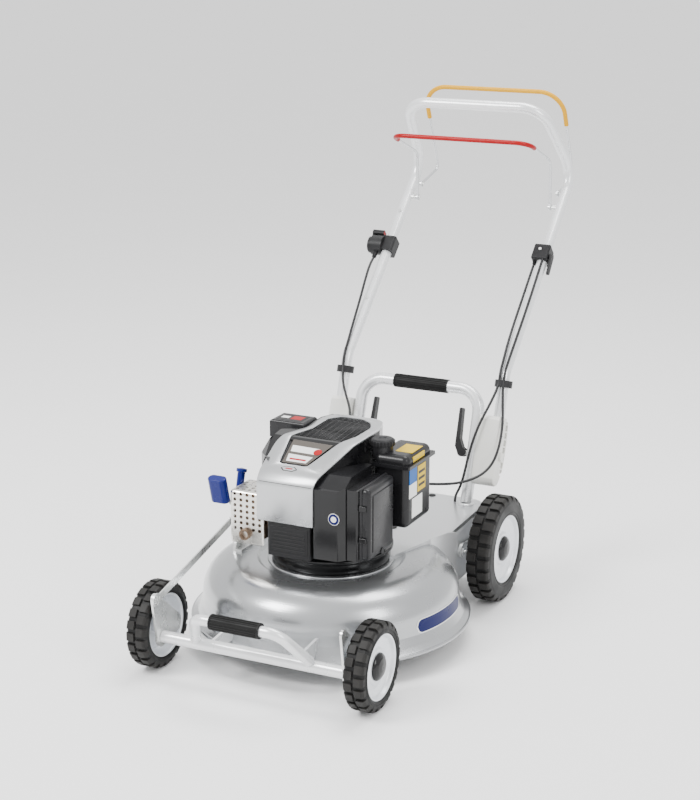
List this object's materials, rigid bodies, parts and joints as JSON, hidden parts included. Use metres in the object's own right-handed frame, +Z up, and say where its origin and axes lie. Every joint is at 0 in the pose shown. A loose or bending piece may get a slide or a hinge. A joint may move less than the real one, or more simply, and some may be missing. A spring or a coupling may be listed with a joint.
{
  "type": "self-propelled rotary mower",
  "caption": "walk-behind rotary mulching mower with a round silver deck, petrol engine, folding loop handle, control bails and height-adjustable wheels",
  "frame": {"origin": "on the ground under the middle of the whole machine, on its centre line", "axes": "+Z up; front of the mower (small wheels) towards -Y; +X to the mower's own left"},
  "size_m": [0.598, 1.3938, 1.0775],
  "materials": {
    "deck_paint": "metallic silver paint with a soft sheen",
    "housing_paint": "light silver paint, satin",
    "tube_paint": "silver-white powder coat, satin",
    "zinc": "zinc-plated pressed steel, slightly dull",
    "steel": "bare machined steel",
    "bright_guard": "bright plated sheet, heat-browned near the outlet",
    "cast_alloy": "as-cast aluminium",
    "iron": "dark cast iron",
    "tyre": "black moulded rubber, matte",
    "grip_rubber": "black ribbed rubber, satin",
    "belt_rubber": "black belt rubber with fabric face",
    "black_plastic": "black moulded plastic, fine grain",
    "gloss_black": "black glossy moulding",
    "silver_plastic": "silver metallic moulding",
    "grey_plastic": "dark grey moulded plastic, satin",
    "white_plastic": "white moulded plastic, satin",
    "blue_plastic": "deep blue moulded plastic, glossy",
    "yellow_plastic": "yellow plastic sleeve on a black rod",
    "red_plastic": "red plastic sleeve on a black rod",
    "cable_skin": "black plastic cable casing"
  },
  "bodies": {
    "chassis": {"deck_shell": "deck_paint", "rear_housing": "housing_paint", "front_axle_tube": "tube_paint", "front_carry_bar": "tube_paint", "rear_arch": "tube_paint", "lift_grips": "grip_rubber", "engine_base_ring": "gloss_black", "crankcase": "cast_alloy", "cylinder_block": "cast_alloy", "engine_shroud": "silver_plastic", "cooling_grille": "gloss_black", "side_cowl": "gloss_black", "battery_tray": "gloss_black", "fuel_tank": "grey_plastic", "filter_box": "gloss_black", "muffler": "steel", "muffler_guard": "bright_guard", "spark_plug": "steel", "lever_bracket": "zinc", "drive_belt": "belt_rubber", "pod_cable": "cable_skin", "drive_cable": "cable_skin", "brake_cable": "cable_skin"},
    "crank": {"crankshaft": "steel", "flywheel_fan": "cast_alloy", "blade_adapter": "iron", "blade": "steel", "blade_bolt": "steel"},
    "gearbox_input": {"gearbox_pulley": "steel"},
    "height_lever": {"height_lever": "zinc", "lever_grip": "blue_plastic"},
    "lever_knob": {"lever_knob": "blue_plastic"},
    "front_axle": {"front_swing_axle": "zinc"},
    "rear_axle": {"rear_swing_axle": "zinc", "gearbox": "cast_alloy"},
    "front_link": {"front_link": "zinc"},
    "rear_link": {"rear_link": "zinc"},
    "drive_shaft": {"drive_shaft": "steel"},
    "handle": {"handlebar": "tube_paint", "handle_brackets": "white_plastic", "cable_clips": "black_plastic", "control_pod": "black_plastic", "control_box": "black_plastic"},
    "cam_left": {"cam_lever_left": "black_plastic"},
    "cam_right": {"cam_lever_right": "black_plastic"},
    "brake_bail": {"brake_bail": "red_plastic"},
    "drive_bail": {"drive_bail": "yellow_plastic"},
    "pod_knob": {"pod_knob": "red_plastic"},
    "box_lever": {"control_box_lever": "black_plastic"},
    "battery": {"battery": "grey_plastic"},
    "fuel_cap": {"fuel_cap": "black_plastic"},
    "filter_cover": {"filter_cover": "grey_plastic"},
    "wheel_front_left": {"tyre_front_left": "tyre", "rim_front_left": "zinc"},
    "wheel_front_right": {"tyre_front_right": "tyre", "rim_front_right": "zinc"},
    "wheel_rear_left": {"tyre_rear_left": "tyre", "rim_rear_left": "zinc"},
    "wheel_rear_right": {"tyre_rear_right": "tyre", "rim_rear_right": "zinc"}
  },
  "joints": [
    {"name": "crank_turn", "type": "hinge", "parent": "chassis", "child": "crank", "pos_m": [0, -0.26842, 0.155], "axis": [0, 0, 1], "continuous": true},
    {"name": "gearbox_input_turn", "type": "hinge", "parent": "rear_axle", "child": "gearbox_input", "pos_m": [0, 0.03358, 0.155], "axis": [0, 0, 1], "continuous": true},
    {"name": "height_lever_swing", "type": "hinge", "parent": "chassis", "child": "height_lever", "pos_m": [-0.194, -0.31642, 0.188], "axis": [1, 0, 0], "range_deg": [-39.3, 39.3]},
    {"name": "front_axle_swing", "type": "hinge", "parent": "chassis", "child": "front_axle", "pos_m": [0, -0.61442, 0.081], "axis": [1, 0, 0], "range_deg": [-24.2, 24.2]},
    {"name": "rear_axle_swing", "type": "hinge", "parent": "chassis", "child": "rear_axle", "pos_m": [0, -0.01842, 0.13], "axis": [1, 0, 0], "range_deg": [-11.1, 11.1], "deforming": ["drive_belt"]},
    {"name": "front_link_swing", "type": "hinge", "parent": "height_lever", "child": "front_link", "pos_m": [-0.2043, -0.33042, 0.241], "axis": [1, 0, 0], "range_deg": [-39.5, 39.5]},
    {"name": "rear_link_swing", "type": "hinge", "parent": "height_lever", "child": "rear_link", "pos_m": [-0.2043, -0.31642, 0.208], "axis": [1, 0, 0], "range_deg": [-39.5, 39.5]},
    {"name": "lever_knob_press", "type": "slide", "parent": "height_lever", "child": "lever_knob", "axis": [0, 0.2756, 0.9613], "range_m": [-0.0032, 0], "stiffness_N_per_m": 600, "springref_m": 0.002},
    {"name": "wheel_front_left_turn", "type": "hinge", "parent": "front_axle", "child": "wheel_front_left", "pos_m": [0.241, -0.57842, 0.09], "axis": [1, 0, 0], "continuous": true},
    {"name": "wheel_front_right_turn", "type": "hinge", "parent": "front_axle", "child": "wheel_front_right", "pos_m": [-0.241, -0.57842, 0.09], "axis": [1, 0, 0], "continuous": true},
    {"name": "wheel_rear_left_turn", "type": "hinge", "parent": "rear_axle", "child": "wheel_rear_left", "pos_m": [0.243, 0.06658, 0.1194], "axis": [1, 0, 0], "continuous": true},
    {"name": "wheel_rear_right_turn", "type": "hinge", "parent": "rear_axle", "child": "wheel_rear_right", "pos_m": [-0.243, 0.06658, 0.1194], "axis": [1, 0, 0], "continuous": true},
    {"name": "drive_shaft_turn", "type": "hinge", "parent": "rear_axle", "child": "drive_shaft", "pos_m": [0, 0.06658, 0.1194], "axis": [1, 0, 0], "continuous": true},
    {"name": "cam_left_open", "type": "hinge", "parent": "handle", "child": "cam_left", "pos_m": [0.122, 0.15806, 0.3], "axis": [0, -0.9511, 0.309], "range_deg": [0, 90]},
    {"name": "cam_right_open", "type": "hinge", "parent": "handle", "child": "cam_right", "pos_m": [-0.122, 0.15806, 0.3], "axis": [0, 0.9511, -0.309], "range_deg": [0, 90]},
    {"name": "handle_fold", "type": "hinge", "parent": "chassis", "child": "handle", "pos_m": [0, 0.15806, 0.3], "axis": [1, 0, 0], "range_deg": [-8, 100], "deforming": ["pod_cable", "drive_cable", "brake_cable"]},
    {"name": "brake_bail_pull", "type": "hinge", "parent": "handle", "child": "brake_bail", "pos_m": [0, 0.55658, 0.80533], "axis": [-1, 0, 0], "range_deg": [0, 19.5], "stiffness_Nm_per_rad": 1.5, "springref_deg": -28.65},
    {"name": "drive_bail_pull", "type": "hinge", "parent": "handle", "child": "drive_bail", "pos_m": [0, 0.59304, 0.83331], "axis": [1, 0, 0], "range_deg": [0, 23], "stiffness_Nm_per_rad": 2, "springref_deg": -28.65},
    {"name": "pod_knob_turn", "type": "hinge", "parent": "handle", "child": "pod_knob", "pos_m": [-0.242, 0.44137, 0.70058], "axis": [1, 0, 0], "range_deg": [-25, 25]},
    {"name": "box_lever_turn", "type": "hinge", "parent": "handle", "child": "box_lever", "pos_m": [0.218, 0.44848, 0.70739], "axis": [1, 0, 0], "range_deg": [-25, 25]},
    {"name": "battery_lift", "type": "slide", "parent": "chassis", "child": "battery", "axis": [0, 0, 1], "range_m": [0, 0.06]},
    {"name": "fuel_cap_turn", "type": "hinge", "parent": "chassis", "child": "fuel_cap", "pos_m": [0.102, -0.23242, 0.4214], "axis": [0, 0, 1], "range_deg": [0, 120]},
    {"name": "filter_cover_pull", "type": "slide", "parent": "chassis", "child": "filter_cover", "axis": [1, 0, 0], "range_m": [0, 0.05]}
  ],
  "couplings": [
    {"joint": "gearbox_input_turn", "follows": "crank_turn", "ratio": 0.7647},
    {"joint": "front_axle_swing", "follows": "height_lever_swing", "ratio": 0.611},
    {"joint": "rear_axle_swing", "follows": "height_lever_swing", "ratio": 0.2793},
    {"joint": "front_link_swing", "follows": "height_lever_swing", "ratio": -1},
    {"joint": "rear_link_swing", "follows": "height_lever_swing", "ratio": -1}
  ]
}
